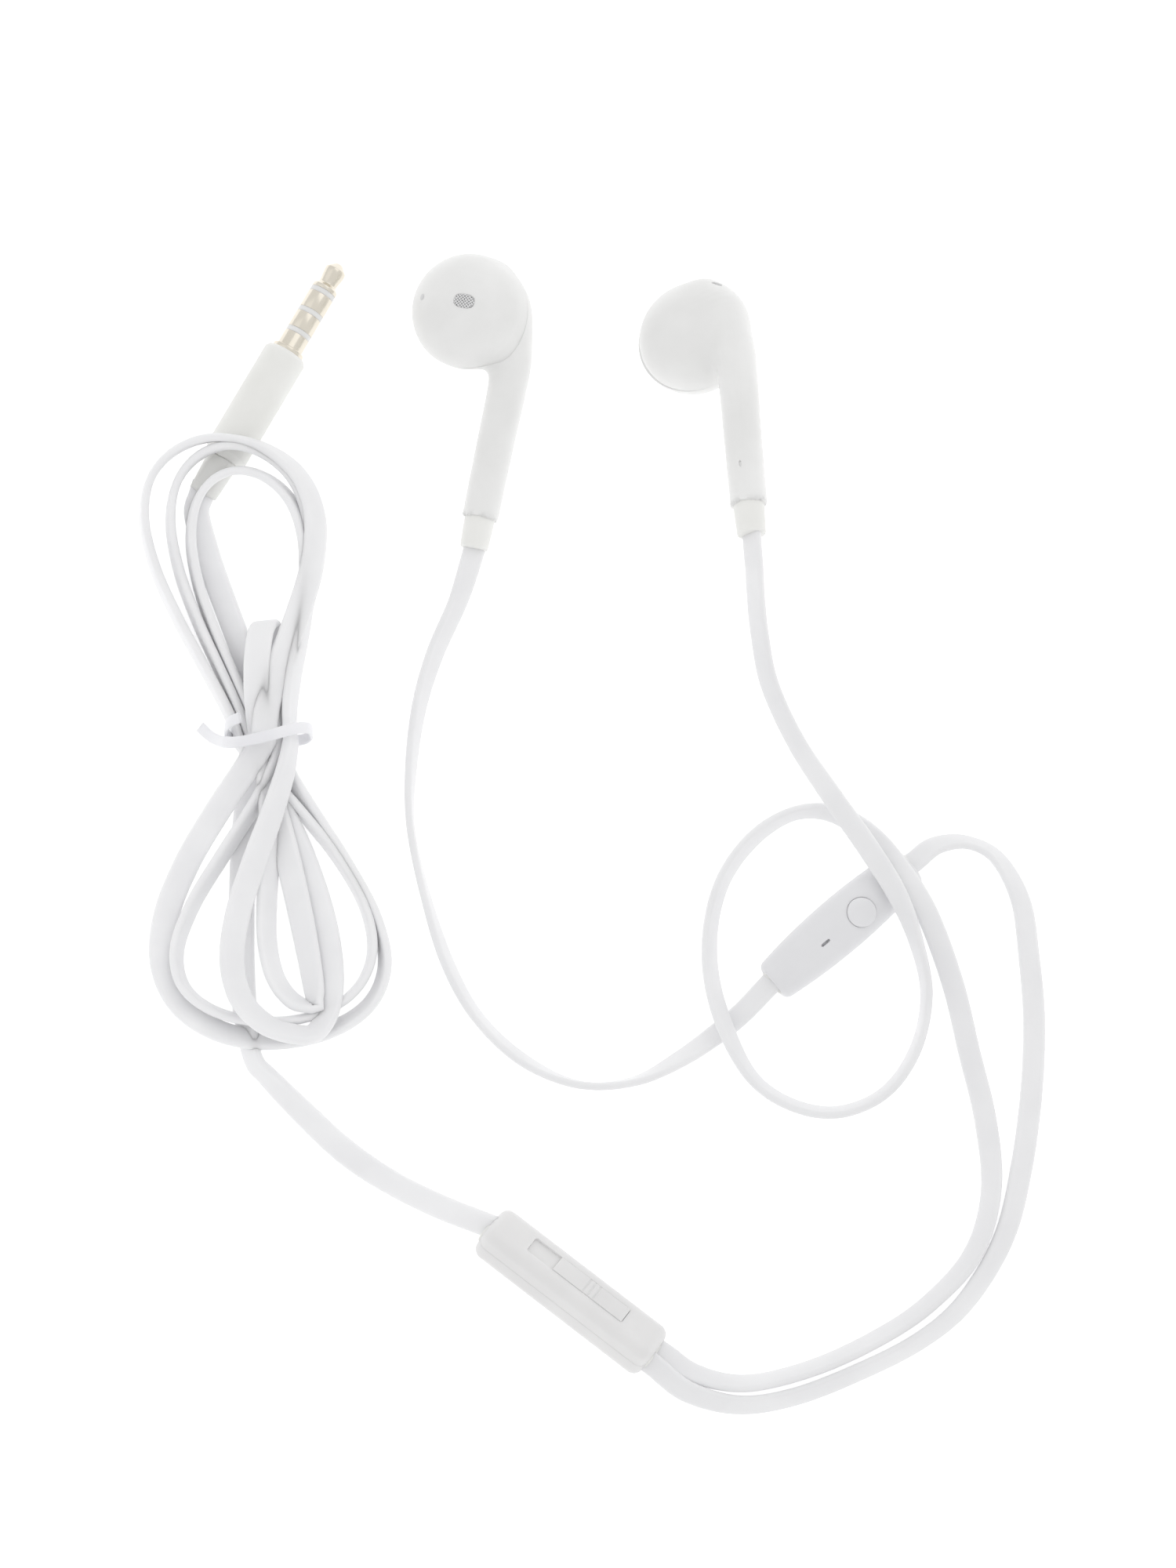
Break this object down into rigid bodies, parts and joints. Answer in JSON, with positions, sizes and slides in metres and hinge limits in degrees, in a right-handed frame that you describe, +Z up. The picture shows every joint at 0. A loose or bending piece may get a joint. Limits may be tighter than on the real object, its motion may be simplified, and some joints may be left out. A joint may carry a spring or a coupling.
{
  "type": "wired earphones",
  "caption": "White open-fit wired earphones with flat leads, an in-line microphone remote, a slide volume box at the split and a jack plug on a tied main lead.",
  "frame": {"origin": "on the surface the set lies on, below the middle of the box around the earbuds, the remote and the volume box", "axes": "+Z up from that surface; +Y from the volume box towards the earbuds; +X from the tied main lead towards the remote"},
  "size_m": [0.1151, 0.1506, 0.0183],
  "materials": {
    "white_gloss": "glossy moulded white",
    "white_soft": "satin moulded white",
    "soft_rubber": "soft white elastomer",
    "lead": "satin white elastomer jacket",
    "tie": "white plastic coated wire tie",
    "gold": "pale gold plating",
    "insulator": "white insulating ring",
    "steel": "plated steel",
    "magnet": "nickel plated magnet",
    "copper": "enamelled copper winding",
    "mesh": "dark woven mesh",
    "film": "thin moulded film",
    "board": "green solder mask",
    "foam": "black foam"
  },
  "bodies": {
    "earphones": {"left_front_shell": "white_gloss", "left_rear_shell": "white_gloss", "left_port_grille": "mesh", "left_vent_mesh": "mesh", "left_driver_gasket": "foam", "left_driver_frame": "white_soft", "left_diaphragm": "film", "left_voice_coil": "copper", "left_top_plate": "steel", "left_magnet": "magnet", "left_yoke": "steel", "left_strain_relief": "soft_rubber", "left_inner_lead": "lead", "right_front_shell": "white_gloss", "right_rear_shell": "white_gloss", "right_port_grille": "mesh", "right_vent_mesh": "mesh", "right_driver_gasket": "foam", "right_driver_frame": "white_soft", "right_diaphragm": "film", "right_voice_coil": "copper", "right_top_plate": "steel", "right_magnet": "magnet", "right_yoke": "steel", "right_strain_relief": "soft_rubber", "right_inner_lead": "lead", "remote_top_cover": "white_gloss", "remote_bottom_cover": "white_gloss", "remote_dome_switch": "steel", "remote_circuit_board": "board", "microphone_capsule": "steel", "remote_lower_grommet": "soft_rubber", "remote_upper_grommet": "soft_rubber", "volume_top_cover": "white_gloss", "volume_bottom_cover": "white_gloss", "slider_guide_plate": "white_soft", "slider_resistor_track": "steel", "volume_circuit_board": "board", "main_lead_grommet": "soft_rubber", "split_lead_grommet": "soft_rubber", "plug_tip": "gold", "plug_insulator_1": "insulator", "plug_ring_1": "gold", "plug_insulator_2": "insulator", "plug_ring_2": "gold", "plug_insulator_3": "insulator", "plug_sleeve": "gold", "plug_grip": "white_soft", "plug_boot": "soft_rubber", "right_lower_lead": "lead", "right_upper_lead": "lead", "left_lead": "lead", "main_lead": "lead", "main_lead_hank": "lead", "hank_tie": "tie"},
    "remote_button": {"remote_button": "white_gloss"},
    "volume_slider": {"volume_thumb": "white_gloss", "slider_wiper": "gold"}
  },
  "joints": [
    {"name": "remote_button_press", "type": "slide", "parent": "earphones", "child": "remote_button", "axis": [-0.1681, 0.1968, -0.9659], "range_m": [0, 0.0004], "stiffness_N_per_m": 1000},
    {"name": "volume_slide", "type": "slide", "parent": "earphones", "child": "volume_slider", "axis": [-0.7955, 0.606, 0], "range_m": [0, 0.004]}
  ]
}
